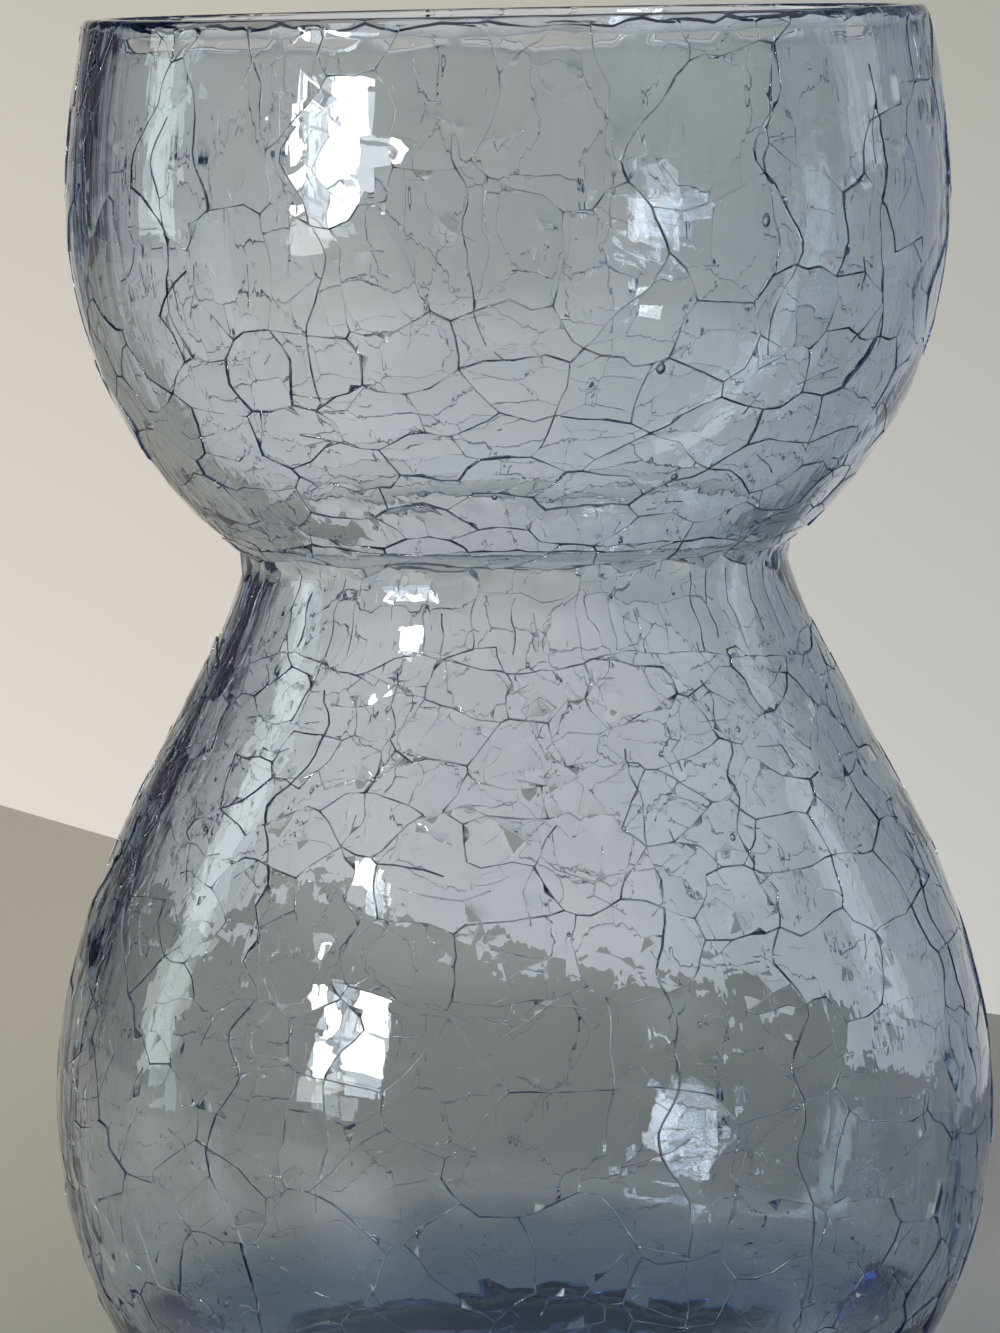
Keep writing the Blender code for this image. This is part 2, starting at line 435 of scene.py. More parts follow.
def faces_by_side(faces):
    """The numbers of the faces at each side, which is named by its two corners."""
    sides = {}
    for f, face in enumerate(faces):
        for a, b in zip(face, face[1:] + face[:1]):
            sides.setdefault((min(a, b), max(a, b)), []).append(f)
    return sides


def plate_edges(seeds):
    """The borders between neighbouring plates: the dual of the seeds' triangulation."""
    points, _, faces, *_ = delaunay_2d_cdt([Vector(p) for p in seeds], [], [], 0, 1e-9, False)
    corners = []
    for face in faces:
        (ax, ay), (bx, by), (cx, cy) = (points[i] for i in face[:3])
        d = 2 * (ax * (by - cy) + bx * (cy - ay) + cx * (ay - by))
        if abs(d) < 1e-12:
            corners.append(None)
            continue
        aa, bb, cc = ax * ax + ay * ay, bx * bx + by * by, cx * cx + cy * cy
        corners.append(((aa * (by - cy) + bb * (cy - ay) + cc * (ay - by)) / d,
                        (aa * (cx - bx) + bb * (ax - cx) + cc * (bx - ax)) / d))
    return corners, [pair for pair in faces_by_side(faces).values() if len(pair) == 2]


def grow_plates(net, scale, share, strength, closes, rng):
    """Adds the cracks that bound the plates, as wavering lines between shared corners."""
    outline = net.outline
    aspect = zone_values(outline.height, PLATE_HEIGHT) / zone_values(outline.height, PLATE_WIDTH)
    plate_run = outline.integral(1 / (outline.radius * aspect))
    corners, edges = plate_edges(scatter_seeds(outline, plate_run, scale, rng))
    slopes = np.diff(outline.conformal) / np.diff(plate_run)

    def conformal(q):
        """The conformal coordinate, carried on straight past the two ends."""
        beyond = q - min(max(q, plate_run[0]), plate_run[-1])
        slope = slopes[0 if beyond < 0 else -1]
        return float(np.interp(q, plate_run, outline.conformal) + beyond * slope)

    places = [None if c is None else (c[0], conformal(c[1])) for c in corners]
    index = {}

    def corner(k):
        """The corner's point in the net, shared with a corner less than a step away."""
        if k not in index:
            x, y = places[k]
            close = net.near(x, y, CORNER_REACH)
            if close is None:
                depth = CRACK_DEPTH * strength * rng.uniform(0.7, 1.2)
                close = net.add(x, y, depth, CRACK_HALF_WIDTH)
            index[k] = close
        return index[k]

    spans = []
    for a, b in edges:
        if places[a] is None or places[b] is None:
            continue
        (ax, ay), (bx, by) = places[a], places[b]
        if (max(ax, bx) < -NET_MARGIN or min(ax, bx) > FULL_TURN + NET_MARGIN
                or max(ay, by) < -NET_MARGIN or min(ay, by) > net.bottom + NET_MARGIN
                or hypot(bx - ax, by - ay) > LONGEST_BORDER):
            continue
        height = outline.look((ay + by) / 2, outline.height)
        if rng.random() <= zone_values(height, share):
            spans.append((corner(a), corner(b)))
    for a, b in spans:
        waver(net, a, b, strength, closes, rng)


def nearest(marks, value):
    """The number of the mark nearest to the value."""
    return min(range(len(marks)), key=lambda k: abs(marks[k] - value))


def waver(net, a, b, strength, closes, rng):
    """One crack between two points of the net: straight stretches that meet at angles."""
    (ax, ay), (bx, by) = net.points[a], net.points[b]
    if a == b:
        return
    radius = net.radius((ay + by) / 2)
    length = hypot(bx - ax, by - ay) * radius
    parts = max(1, int(round(length / CRACK_STEP)))
    strength *= rng.choice(CRACK_STRENGTHS) * zone_values(net.height((ay + by) / 2), STRENGTH)
    bow = rng.uniform(-CRACK_BOW, CRACK_BOW) * length
    seed = rng.uniform(0, 1000)
    across = ((by - ay), -(bx - ax))
    size = hypot(*across) or 1.0
    marks, shifts = [0.0], [0.0]
    at = rng.uniform(0.6, 1.0) * CRACK_STRETCH / length if length else 1.0
    while at < 1 - 0.4 * CRACK_STRETCH / length:
        kink = max(-KINK_LIMIT, min(KINK_LIMIT, rng.gauss(0, 1))) * CRACK_KINK
        marks.append(at)
        shifts.append(bow * sin(pi * at) + kink)
        at += rng.uniform(0.5, 1.5) * CRACK_STRETCH / length
    marks.append(1.0)
    shifts.append(0.0)
    last = a
    for k in range(1, parts):
        t = k / parts
        near = marks[nearest(marks, t)]
        if abs(near - t) < 0.5 / parts and 0 < near < 1:
            t = near
        shift = (float(np.interp(t, marks, shifts)) + rng.uniform(-0.03, 0.03) * MM) / radius
        x = ax + (bx - ax) * t + across[0] / size * shift
        y = ay + (by - ay) * t + across[1] / size * shift
        last = step_to(net, last, x, y, strength, seed, closes, rng)
    net.link(last, b, closes)


def step_to(net, last, x, y, strength, seed, closes, rng):
    """Carries a crack on to the next point, deeper and shallower along its way."""
    swell = max(0.3, 1 + 1.5 * noise.noise(Vector((x * 18, y * 18, seed))))
    depth = CRACK_DEPTH * strength * swell * rng.uniform(0.75, 1.2)
    point = net.add(x, y, depth, CRACK_HALF_WIDTH * (0.55 + 0.45 * strength) * (0.6 + 0.4 * swell))
    if last is not None:
        net.link(last, point, closes)
    return point


def grow_rings(net, rng):
    """Adds the cracks that run all the way round."""
    outline = net.outline
    turn = FULL_TURN + 2 * RING_OVERLAP
    for height, sway, strength in RINGS:
        seed = rng.uniform(0, 1000)
        last = None
        count = int(turn * outline.at_height(height * MM, outline.radius) / CRACK_STEP)
        for k in range(count + 1):
            x = -RING_OVERLAP + turn * k / count
            drift = sway * MM * 1.6 * noise.noise(spot_round(x, 3.5, seed))
            z = height * MM + drift + rng.uniform(-0.12, 0.12) * MM
            y = outline.at_height(z, outline.conformal)
            last = step_to(net, last, x, y, strength, seed, True, rng)


def grow_upright(net, x, top, foot, strength, sway, closes, rng):
    """Adds one crack that runs down the glass between two heights."""
    seed = rng.uniform(0, 1000)
    last = None
    y, end = (net.outline.at_height(z, net.outline.conformal) for z in (top, foot))
    while y < end:
        radius = net.radius(y)
        run = y * radius / UPRIGHT_BEND
        drift = sway * noise.noise(Vector((seed, run, 0.0))) + rng.uniform(-0.1, 0.1) * MM
        last = step_to(net, last, x + drift / radius, y, strength, seed, closes, rng)
        y += CRACK_STEP / radius


def grow_uprights(net, rng):
    """Adds the neck's parallel upright lines and the long cracks of the cup and the body."""
    for k in range(NECK_LINES):
        x = FULL_TURN * (k + rng.uniform(0.2, 0.8)) / NECK_LINES
        top = NECK_TOP - rng.choice((0.0, 0.0, 1.5, 3.0)) * MM
        foot = NECK_FOOT + rng.choice((-0.4, 0.0, 1.0, 3.0)) * MM
        if SEAM_GAP < x < FULL_TURN - SEAM_GAP:
            strength = rng.choice((0.35, 0.5, 0.75))
            grow_upright(net, x, top, foot, strength, NECK_SWAY, False, rng)
    for k in range(LONG_CRACKS):
        x = FULL_TURN * (k + rng.uniform(0.25, 0.75)) / LONG_CRACKS
        top = rng.uniform(78, 88) * MM
        foot = rng.uniform(14, 40) * MM
        grow_upright(net, x, top, foot, rng.uniform(0.8, 1.1), BODY_SWAY, True, rng)
        x += rng.uniform(0.15, 0.4)
        top = HEIGHT - rng.uniform(1, 12) * MM
        foot = rng.uniform(108, 126) * MM
        if WIDE_SEAM_GAP < x < FULL_TURN - WIDE_SEAM_GAP:
            grow_upright(net, x, top, foot, rng.uniform(0.7, 1.0), CUP_SWAY, True, rng)


def grow_hairs(net, rng):
    """Adds fine cracks that start at random and stop at a free end or at another crack."""
    outline = net.outline
    girth = FULL_TURN * outline.radius
    total = outline.integral(zone_values(outline.height, HAIRS) * girth * PER_SQUARE_CM)
    for _ in range(int(total[-1])):
        mark = rng.random() * total[-1]
        y = float(np.interp(mark, total, outline.conformal))
        x = rng.uniform(SEAM_GAP, FULL_TURN - SEAM_GAP)
        height = outline.look(y, outline.height)
        length = zone_values(height, HAIR_LENGTH) * MM * rng.uniform(0.5, 1.5)
        slope = radians(zone_values(height, HAIR_SLOPE) + rng.gauss(0, 16))
        grow_hair(net, x, y, slope * rng.choice((-1, 1)), length, rng)


def grow_hair(net, x, y, heading, length, rng):
    if net.near(x, y, HAIR_CLEARANCE) is not None:
        return
    parts = max(2, int(length / HAIR_STEP))
    turn = rng.gauss(0, 0.05)
    strength = rng.uniform(0.5, 1.0)
    trail = []
    for k in range(parts + 1):
        taper = min(1.0, (k + 0.4) / 2, (parts - k + 0.4) / 2)
        touched = net.near(x, y, HAIR_REACH, trail[-2:]) if k else None
        if touched is not None:
            if touched not in trail:
                net.link(trail[-1], touched, False)
            return
        if not net.holds(x, y, NET_MARGIN):
            return
        point = net.add(x, y, HAIR_DEPTH * strength * taper * rng.uniform(0.7, 1.2),
                        HAIR_HALF_WIDTH * (0.7 + 0.3 * strength))
        if trail:
            net.link(trail[-1], point, False)
        trail.append(point)
        heading += turn + rng.gauss(0, 0.13)
        radius = net.radius(y)
        x += cos(heading) * HAIR_STEP / radius
        y += sin(heading) * HAIR_STEP / radius


def clip_net(net):
    """Cuts the cracks off at the seam and at the two ends, and returns where they cross."""
    sides = {"left": (0, 0.0), "right": (0, FULL_TURN), "top": (1, 0.0), "bottom": (1, net.bottom)}
    walls = {name: [] for name in sides}
    kept = []
    for a, b, closes in net.links:
        pa, pb = net.points[a], net.points[b]
        inside = [net.holds(*pa), net.holds(*pb)]
        if all(inside):
            kept.append((a, b, closes))
        if inside[0] == inside[1]:
            continue
        if inside[1]:
            a, pa, pb = b, pb, pa
        best, wall = 1.0, None
        for name, (axis, value) in sides.items():
            step = pb[axis] - pa[axis]
            if step == 0:
                continue
            t = (value - pa[axis]) / step
            if 0 < t <= best:
                best, wall = t, name
        along = 1 - sides[wall][0]
        walls[wall].append((pa[along] + (pb[along] - pa[along]) * best, a, closes))
    return kept, walls


def border_marks(spacing, end, hits, snap):
    """Evenly spaced marks from 0 to the end, with each hit on a mark of its own."""
    count = int(round(end / spacing))
    marks = [end * k / count for k in range(count + 1)]
    for hit in sorted(hits):
        near = nearest(marks, hit)
        if abs(marks[near] - hit) >= snap:
            marks.append(hit)
            marks.sort()
        elif 0 < near < len(marks) - 1:
            marks[near] = hit
    return marks


class Crackle:
    """The outside's triangles in (angle, conformal) coordinates, with a depth at each point."""

    def __init__(self, outline, rng):
        self.net = CrackNet(outline)
        grow_rings(self.net, rng)
        grow_uprights(self.net, rng)
        grow_plates(self.net, 1.0, KEPT, 1.0, True, rng)
        grow_plates(self.net, FINE_SCALE, FINE_KEPT, FINE_STRENGTH, False, rng)
        grow_hairs(self.net, rng)
        self.close_borders()
        self.split_crossings()
        self.triangulate(rng)
        self.label_plates()
        self.shape(rng)

    def close_borders(self):
        """Frames the net: a seam, which is a crack too, at both sides, and plain borders."""
        net, full = self.net, FULL_TURN
        links, walls = clip_net(net)
        hits = {name: [hit[0] for hit in walls[name]] for name in walls}
        both = hits["left"] + hits["right"]
        side = border_marks(CRACK_STEP / MEAN_RADIUS, net.bottom, both, SEAM_SNAP)
        top = border_marks(END_STEP / net.radius(0), full, hits["top"], END_SNAP)
        low = border_marks(END_STEP / net.radius(net.bottom), full, hits["bottom"], END_SNAP)
        seam = (SEAM_DEPTH * CRACK_DEPTH, SEAM_WIDTH * CRACK_HALF_WIDTH)
        left = [net.add(0.0, y, *seam) for y in side]
        right = [net.add(full, y, *seam) for y in side]
        upper = [left[0]] + [net.add(x, 0.0, 0.0, 0.0) for x in top[1:-1]] + [right[0]]
        lower = [left[-1]] + [net.add(x, net.bottom, 0.0, 0.0) for x in low[1:-1]] + [right[-1]]
        for name, marks, border in (("left", side, left), ("right", side, right),
                                    ("top", top, upper), ("bottom", low, lower)):
            for value, a, closes in walls[name]:
                k = border[nearest(marks, value)]
                links.append((a, k, closes))
                if name in ("top", "bottom"):
                    net.depth[k], net.width[k] = net.depth[a] * 0.8, net.width[a]
        self.links = links
        self.borders = {"left": left, "right": right, "top": upper, "bottom": lower}

    def split_crossings(self):
        """Adds a point where two cracks cross, so that the grooves' edges can be laid around it."""
        net = self.net
        used = sorted({k for a, b, _ in self.links for k in (a, b)})
        place = {k: i for i, k in enumerate(used)}
        edges = [(place[a], place[b]) for a, b, _ in self.links]
        out = delaunay_2d_cdt([Vector(net.points[k]) for k in used], edges, [], 0, NEAR_ZERO, True)
        names = [used[olds[0]] if olds else None for olds in out[3]]
        pieces = [(a, b, [self.links[o] for o in olds])
                  for (a, b), olds in zip(out[1], out[4]) if olds]
        for v, name in enumerate(names):
            if name is None:
                x, y = out[0][v]
                names[v] = net.near(x, y, MERGE_REACH)
        for a, b, olds in pieces:
            depth, width = (sum(values[k] for k in olds[0][:2]) / 2
                            for values in (net.depth, net.width))
            for v in (a, b):
                if names[v] is None:
                    names[v] = net.add(*out[0][v], depth, width)
                elif not out[3][v]:
                    net.depth[names[v]] = max(net.depth[names[v]], depth)
        self.links = [(names[a], names[b], any(old[2] for old in olds)) for a, b, olds in pieces
                      if names[a] != names[b]]

    def triangulate(self, rng):
        """Fills the net with triangles whose sides follow the cracks and their grooves' edges."""
        net, borders = self.net, self.borders
        around = {}
        chains = {name: list(zip(borders[name], borders[name][1:])) for name in borders}
        for a, b in [link[:2] for link in self.links] + chains["left"] + chains["right"]:
            around.setdefault(a, []).append(b)
            around.setdefault(b, []).append(a)
        used = sorted(around)
        order = used + sorted({k for border in borders.values() for k in border} - set(used))
        place = {k: i for i, k in enumerate(order)}
        coords = [net.points[k] for k in order]
        for k in used:
            coords.extend(self.fringe(k, around[k]))
        coords.extend(self.filling(rng))
        edges = [(place[a], place[b]) for a, b, _ in self.links]
        closing = [closes for _, _, closes in self.links]
        for name in borders:
            edges.extend((place[a], place[b]) for a, b in chains[name])
            closing.extend([name in ("left", "right")] * len(chains[name]))
        out = delaunay_2d_cdt([Vector(c) for c in coords], edges, [], 0, NEAR_ZERO, True)
        self.coords = np.array([tuple(v) for v in out[0]])
        self.triangles = [tuple(f) for f in out[2]]
        self.from_input = {old: new for new, olds in enumerate(out[3]) for old in olds}
        self.closing_edges = {tuple(sorted(e)) for e, olds in zip(out[1], out[4])
                              if any(o < len(closing) and closing[o] for o in olds)}
        self.input_order = order

    def filling(self, rng):
        """Loose rows of points between the cracks."""
        net, found, y = self.net, [], 0.0
        while True:
            radius = net.radius(y)
            y += FILL_STEP / radius
            if y > net.bottom - 0.4 * FILL_STEP / radius:
                return found
            count = int(FULL_TURN * radius / FILL_STEP)
            for k in range(count):
                x = FULL_TURN * (k + 0.5 + rng.uniform(-FILL_JITTER, FILL_JITTER)) / count
                v = y + rng.uniform(-FILL_JITTER, FILL_JITTER) * FILL_STEP / radius
                inside = net.holds(x, v, FILL_MARGIN / radius)
                if inside and net.near(x, v, FILL_CLEARANCE) is None:
                    found.append((x, v))

    def fringe(self, k, neighbours):
        """Points at the grooves' edges around a point, one for each gap between its cracks."""
        net = self.net
        x, y = net.points[k]
        radius, width = net.radius(y), net.width[k]
        if width == 0:
            return []
        angles = sorted(atan2(net.points[n][1] - y, net.points[n][0] - x) for n in neighbours)
        found = []
        for i, start in enumerate(angles):
            gap = (angles[(i + 1) % len(angles)] - start) % FULL_TURN
            if len(angles) == 1:
                gap = FULL_TURN
            if gap < NARROW_GAP:
                continue
            if gap > WIDE_GAP:
                spokes = [(start + gap * t, 1.0) for t in (0.25, 0.5, 0.75)]
            else:
                spokes = [(start + gap / 2, 1 / max(0.45, sin(gap / 2)))]
            for angle, reach in spokes:
                px = x + cos(angle) * width * reach / radius
                py = y + sin(angle) * width * reach / radius
                near = net.near(px, py, 0.9 * width * reach, (k,))
                if near is None and net.holds(px, py, EDGE):
                    found.append((px, py))
        return found

    def label_plates(self):
        """Marks each triangle with the plate that it belongs to."""
        beside = [[] for _ in self.triangles]
        for edge, tris in faces_by_side(self.triangles).items():
            if len(tris) == 2 and edge not in self.closing_edges:
                beside[tris[0]].append(tris[1])
                beside[tris[1]].append(tris[0])
        label = [-1] * len(self.triangles)
        count = 0
        for start in range(len(label)):
            if label[start] >= 0:
                continue
            label[start] = count
            stack = [start]
            while stack:
                for other in beside[stack.pop()]:
                    if label[other] < 0:
                        label[other] = count
                        stack.append(other)
            count += 1
        self.label = label

    def shape(self, rng):
        """The height of each point over the smooth outline: plates, bulges and grooves."""
        coords, outline = self.coords, self.net.outline
        corners, plates = np.ravel(self.triangles), np.repeat(self.label, 3)
        spots, sizes = coords[corners], np.bincount(plates)
        centre = np.column_stack([np.bincount(plates, spots[:, k]) / sizes for k in range(2)])
        tilt = np.array([[rng.gauss(0, 1), rng.gauss(0, 1)] for _ in sizes]) * tan(PLATE_TILT)
        lift = np.array([rng.uniform(-0.3, 0.3) * PLATE_LIMIT for _ in sizes])
        radius = outline.look(coords[:, 1], outline.radius)[corners, None]
        dx, dy = ((spots - centre[plates]) * radius).T
        lean = lift[plates] + tilt[plates, 0] * dx + tilt[plates, 1] * dy
        rise = lean - (dx * dx + dy * dy) / (2 * PLATE_BULGE_RADIUS)
        hits = np.maximum(np.bincount(corners, minlength=len(coords)), 1)
        height = np.bincount(corners, rise, len(coords)) / hits
        depth = np.zeros(len(coords))
        for old, k in enumerate(self.input_order):
            new = self.from_input.get(old)
            if new is not None:
                depth[new] = max(depth[new], self.net.depth[k])
        self.height, self.depth = np.clip(height, -PLATE_LIMIT, PLATE_LIMIT) - SINK, depth


def seam_wander(y):
    """How far the whole pattern is turned at a height, so that the seam isn't straight."""
    wide = noise.noise(Vector((3.7, y * 2.2, 0.0)))
    return 0.09 * wide + 0.025 * noise.noise(Vector((8.1, y * 9.0, 0.0)))


def blown_waves(angle, z, size, scale):
    """Low waves in blown glass, the same all the way round."""
    return size * noise.noise(spot_round(angle, scale, z * scale / WAVE_RADIUS))


class Builder:
    """Collects points and faces, and which faces belong to grooves."""

    def __init__(self):
        self.points, self.faces, self.groove = [], [], []
        self.stain, self.skin, self.floor = {}, {}, {}

    def ring(self, angles, radii, heights):
        first, count = len(self.points), len(angles)
        for a, r, z in zip(angles, np.broadcast_to(radii, count), np.broadcast_to(heights, count)):
            self.points.append((r * cos(a), r * sin(a), z))
        return list(range(first, first + count))

    def face(self, *corners):
        self.faces.append(corners)
        self.groove.append(False)

    def bridge(self, rows, upward):
        """Joins each ring to the next. Seen from outside the glass, their angles run right."""
        for a, b in zip(rows, rows[1:]):
            upper, lower = (b, a) if upward else (a, b)
            for corners in zip(upper, lower, lower[1:] + lower[:1], upper[1:] + upper[:1]):
                self.face(*corners)

    def cap(self, ring, centre, downward):
        self.points.append(centre)
        for a, b in zip(ring, ring[1:] + ring[:1]):
            self.face(*((b, a) if downward else (a, b)), len(self.points) - 1)


def inner_outline():
    """The inside from the rim down to the centre of the bowl that closes it."""
    outside = outer_outline()
    wall = outside - Outline(outside).normal * WALL
    wall = wall[wall[:, 1] > FLOOR_HEIGHT + BOWL_DEPTH]
    share = np.linspace(1.0, 0.0, 200)[1:]
    depths = FLOOR_HEIGHT + BOWL_DEPTH * share ** BOWL_FULLNESS
    bowl = np.column_stack((wall[-1][0] * share, depths))
    return smooth_line(np.vstack((wall, bowl)), BOWL_ROUND, INNER_LINE_STEP)


def build_glass(rng):
    """The whole glass: the crackled outside, then what closes it, then the bubbles."""
    line = outer_outline()
    outline = Outline(line[(line[:, 1] < CRACKLE_TOP) & (line[:, 1] > CRACKLE_FOOT)])
    crackle = Crackle(outline, rng)
    build = Builder()
    x, y = crackle.coords[:, 0], crackle.coords[:, 1]
    columns = (outline.radius, outline.height, *outline.normal.T)
    radius, z, nr, nz = (outline.look(y, column) for column in columns)
    angle = x + SEAM_ANGLE + np.array([seam_wander(v) for v in y])
    waves = np.array([blown_waves(a, h, *OUTER_WAVES) for a, h in zip(angle, z)])
    edge = np.minimum(1.0, np.minimum(y, outline.conformal[-1] - y) * radius / END_FADE)
    inset = (crackle.height + waves) * edge - crackle.depth * (0.5 + 0.5 * edge)
    r, h = np.minimum(radius + nr * inset, BODY_RADIUS - CLEARANCE), z + nz * inset
    # The cracks' painted shade: their depth, weaker low on the body. The same value makes them
    # rough.
    stain = np.minimum(CRACK_SHADE_LIMIT, crackle.depth / CRACK_DEPTH) * np.interp(h, CRACK_SHADE_SPAN, CRACK_SHADE)
    slots = {k: i for i, k in enumerate(crackle.input_order)}

    def found(border):
        return [crackle.from_input[slots[k]] for k in crackle.borders[border]]

    weld = dict(zip(found("right"), found("left")))
    number = {}
    for v in range(len(x)):
        if v not in weld:
            number[v] = len(build.points)
            build.points.append((r[v] * cos(angle[v]), r[v] * sin(angle[v]), h[v]))
            build.stain[number[v]] = stain[v]
            build.skin[number[v]] = edge[v]
    for v, twin in weld.items():
        number[v] = number[twin]
    for tri in crackle.triangles:
        build.faces.append(tuple(number[v] for v in reversed(tri)))
        build.groove.append(any(crackle.depth[v] > GROOVE_DEPTH for v in tri))
    top, low = found("top")[:-1], found("bottom")[:-1]
    add_rim_and_inside(build, [number[v] for v in top], [angle[v] for v in top])
    add_underside(build, [number[v] for v in low], [angle[v] for v in low])
    add_bubbles(build, rng)
    return build


def quarter_round(radius, size, inward):
    """Points of a quarter circle of the lip, from its side up to its top, or the other way."""
    turns = [radians(a) for a in (12, 30, 50, 70, 88)]
    points = [(radius - size * (cos(a) if inward else 1 - cos(a)),
               HEIGHT - size * (1 - sin(a))) for a in turns]
    return points[::-1] if inward else points


def add_rim_and_inside(build, edge, angles):
    """The lip, the ledge of ragged glass inside it, and the smooth inside."""
    inside, inner = inner_outline(), MOUTH_RADIUS - WALL
    ragged = np.array([noise.fractal(spot_round(a, 14, 4.2), 0.7, 2.2, 3) for a in angles])
    thin = np.array([noise.noise(spot_round(a, 5, 9.1)) for a in angles])
    ledge = HEIGHT - (LEDGE_DROP - LEDGE_RAGGED * ragged) * MM
    step = (0.30 + 0.20 * thin) * MM
    loops = quarter_round(MOUTH_RADIUS, LIP_ROUND_OUT, False)
    loops += [(inner + step + r, z) for r, z in quarter_round(LIP_ROUND_IN, LIP_ROUND_IN, True)]
    loops += [(inner + step, HEIGHT - 0.5 * MM)]
    loops += [(inner + step * share, ledge + drop * MM)
              for share, drop in ((1.0, 0.2), (0.88, 0.12), (0.5, 0.0), (0.12, -0.12), (0.0, -0.2))]
    rows = [edge] + [build.ring(angles, r, z) for r, z in loops]
    path = resample(inside[inside[:, 1] < SMOOTH_INSIDE_TOP], INNER_STEP)
    for (radius, z), (nr, nz) in zip(path[:-1], Outline(path).normal):
        wave = np.array([blown_waves(a, z + 0.3, *INNER_WAVES) for a in angles])
        wave *= min(1.0, radius / (20 * MM))
        rows.append(build.ring(angles, radius + nr * wave, z + nz * wave))
        build.floor.update((v, float(np.interp(z, DULL_FLOOR, (1.0, 0.0)))) for v in rows[-1])
    build.bridge(rows, True)
    build.cap(rows[-1], (0.0, 0.0, float(path[-1][1])), False)
    build.floor[len(build.points) - 1] = 1.0


def add_underside(build, edge, angles):
    """The rest of the heel, the resting ring and the push-up."""
    outside = outer_outline()
    heel = resample(outside[outside[:, 1] < CRACKLE_FOOT], HEEL_STEP)[1:]
    rows = [edge] + [build.ring(angles, r, max(z, 0.0)) for r, z in heel]
    for k in range(1, PUSH_UP_RINGS):
        share = 1 - k / PUSH_UP_RINGS
        rows.append(build.ring(angles, PUSH_UP_RADIUS * share, PUSH_UP_DEPTH * (1 - share ** 2)))
    build.bridge(rows, False)
    build.cap(rows[-1], (0.0, 0.0, PUSH_UP_DEPTH), True)


def add_bubbles(build, rng):
    """Small air bubbles in the middle of the wall, a little flattened against it."""
    outline = Outline(outer_outline())
    shape = bmesh.new()
    bmesh.ops.create_icosphere(shape, subdivisions=3, radius=1.0)
    shape.verts.ensure_lookup_table()
    more = [[rng.uniform(*span) for span in RANDOM_BUBBLE_SPANS] for _ in range(RANDOM_BUBBLES)]
    for angle, height, size in [*BUBBLES, *more]:
        run = outline.at_height(height * MM, outline.run)
        radius, nr, nz = (float(np.interp(run, outline.run, column))
                          for column in (outline.radius, *outline.normal.T))
        turn = radians(angle - 90)
        outward = spot_round(turn, nr, nz)
        round_way = Vector((-sin(turn), cos(turn), 0.0))
        up = outward.cross(round_way)
        centre = spot_round(turn, radius, height * MM) - outward * WALL * 0.5
        first = len(build.points)
        stretch = rng.uniform(1.0, 1.5)
        for vert in shape.verts:
            a, b, c = vert.co * size * MM
            point = centre + round_way * a + up * b * stretch + outward * c * BUBBLE_FLATNESS
            build.points.append(tuple(point))
        for face in shape.faces:
            build.face(*(first + v.index for v in reversed(face.verts)))
    shape.free()


def place_object(name, data):
    """A new object in the scene."""
    piece = bpy.data.objects.new(name, data)
    bpy.context.scene.collection.objects.link(piece)
    return piece


def glass_object(material):
    build = build_glass(random.Random(SEED))
    mesh = bpy.data.meshes.new("crackle_glass")
    mesh.from_pydata(build.points, [], build.faces)
    mesh.validate()
    mesh.update()
    mesh.shade_smooth()
    mark_groove_edges(mesh, build.groove)
    for name, values in (("crack", build.stain), ("skin", build.skin), ("floor", build.floor)):
        attribute = mesh.attributes.new(name, "FLOAT", "POINT")
        attribute.data.foreach_set("value", [values.get(v, 0.0) for v in range(len(mesh.vertices))])
    mesh.materials.append(material)
    piece = place_object("crackle_glass", mesh)
    piece.visible_shadow = False
    return piece


def mark_groove_edges(mesh, groove):
    """Breaks the shading where a plate meets a groove's side, so that the plates stay flat."""
    sides = faces_by_side([tuple(polygon.vertices) for polygon in mesh.polygons])
    pairs = [sides[tuple(sorted(edge.vertices))] for edge in mesh.edges]
    sharp = [len(pair) == 2 and groove[pair[0]] != groove[pair[1]] for pair in pairs]
    attribute = mesh.attributes.new("sharp_edge", "BOOLEAN", "EDGE")
    attribute.data.foreach_set("value", sharp)


class Nodes:
    """Short ways to add nodes to one material or world and to feed them."""

    def __init__(self, owner):
        owner.use_nodes = True
        self.nodes, self.links = owner.node_tree.nodes, owner.node_tree.links

    def feed(self, socket, value):
        """Links another node's output to the socket, or sets the socket's own value."""
        if isinstance(value, bpy.types.NodeSocket):
            self.links.new(value, socket)
        elif isinstance(value, tuple) and len(value) < len(socket.default_value):
            socket.default_value = (*value, 1.0)
        else:
            socket.default_value = value

    def add(self, kind, inputs=None, **settings):
        """A new node with its settings, and its inputs by name or number."""
        node = self.nodes.new("ShaderNode" + kind)
        for name, value in settings.items():
            setattr(node, name, value)
        for name, value in (inputs or {}).items():
            self.feed(node.inputs[name], value)
        return node

    def attribute(self, name):
        return self.add("Attribute", attribute_name=name).outputs["Fac"]

    def rise(self, source, low, high, to=(0.0, 1.0), curve="SMOOTHSTEP"):
        """Goes from one value to another between two values of the source."""
        inputs = {"Value": source, "From Min": low, "From Max": high,
                  "To Min": to[0], "To Max": to[1]}
        return self.add("MapRange", inputs, interpolation_type=curve).outputs["Result"]

    def mix(self, factor, a, b, blend="MIX"):
        inputs = {"Factor": factor, "A": a, "B": b}
        return self.add("Mix", inputs, data_type="RGBA", blend_type=blend).outputs["Result"]

    def math(self, operation, *inputs):
        return self.add("Math", dict(enumerate(inputs)), operation=operation).outputs[0]

    def vector(self, operation, *inputs, output="Vector"):
        return self.add("VectorMath", dict(enumerate(inputs)), operation=operation).outputs[output]

    def random_lean(self, place, size, squash, amount):
        """A small random vector for each cell of the given size, in proportion to the amount."""
        squeezed = self.vector("MULTIPLY", place, (1.0, 1.0, squash))
        cells = self.add("TexVoronoi", {"Vector": squeezed, "Scale": 1 / size})
        lean = self.vector("SUBTRACT", cells.outputs["Color"], (0.5, 0.5, 0.5))
        return self.add("VectorMath", {0: lean, "Scale": amount}, operation="SCALE").outputs[0]


